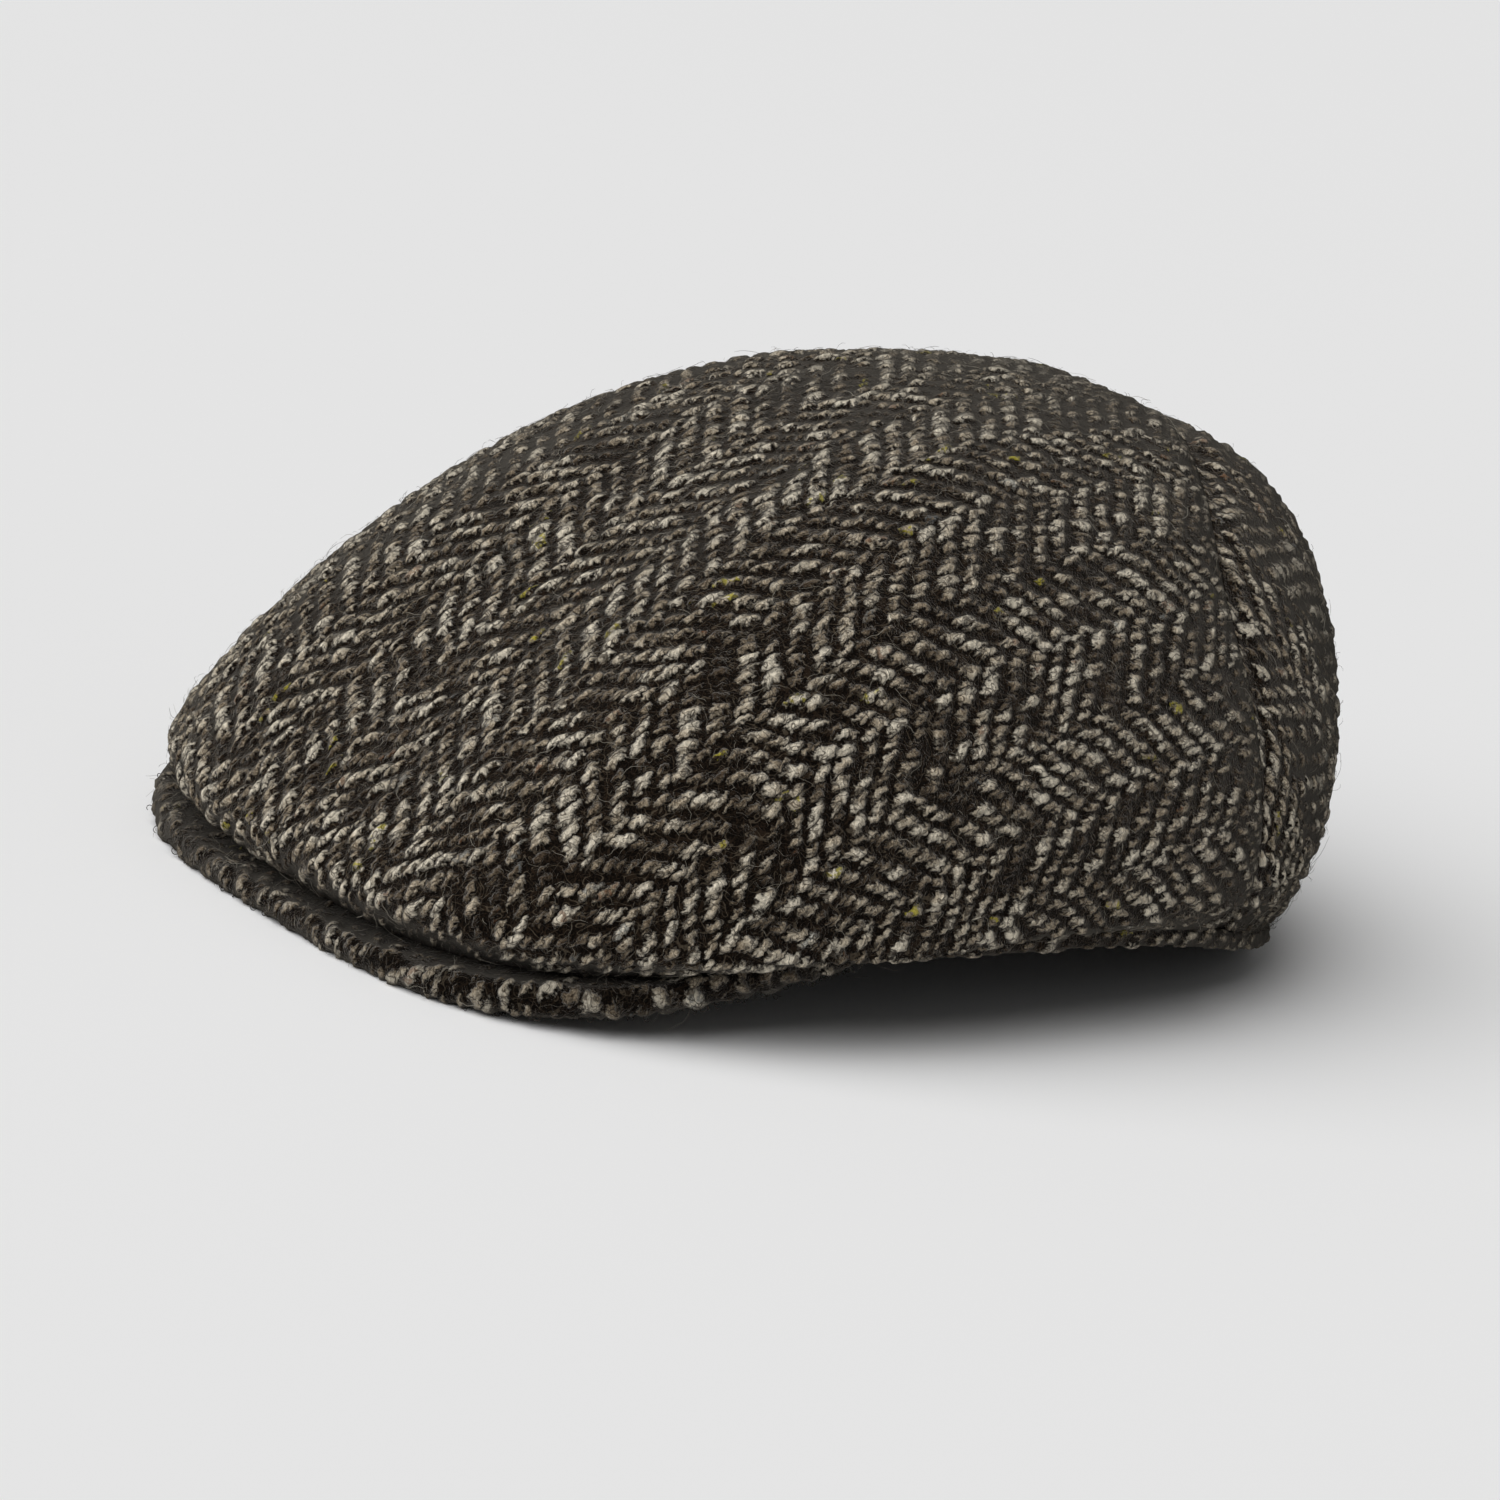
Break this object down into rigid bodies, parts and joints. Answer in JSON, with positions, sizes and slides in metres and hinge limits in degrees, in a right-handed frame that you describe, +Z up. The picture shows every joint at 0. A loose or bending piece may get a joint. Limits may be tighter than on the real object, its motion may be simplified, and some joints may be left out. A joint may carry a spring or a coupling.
{
  "type": "flat cap",
  "caption": "Flat cap in dark herringbone tweed: a rounded crown with a back panel, a turned hem and a short curved peak under the crown's nose.",
  "frame": {"origin": "on the ground, under the middle of the cap's length and width", "axes": "+Z up, -Y towards the front of the peak, +X towards the wearer's left"},
  "size_m": [0.194, 0.27, 0.12],
  "materials": {
    "tweed_crown": "coarse herringbone wool tweed, dark brown and oatmeal",
    "tweed_back": "the same tweed, cut on another line",
    "tweed_hem": "the same tweed, folded into a narrow hem",
    "tweed_peak": "the same tweed over a stiff peak"
  },
  "bodies": {
    "root": {"crown_main": "tweed_crown", "crown_back": "tweed_back", "hem_band": "tweed_hem", "peak": "tweed_peak"}
  },
  "joints": []
}
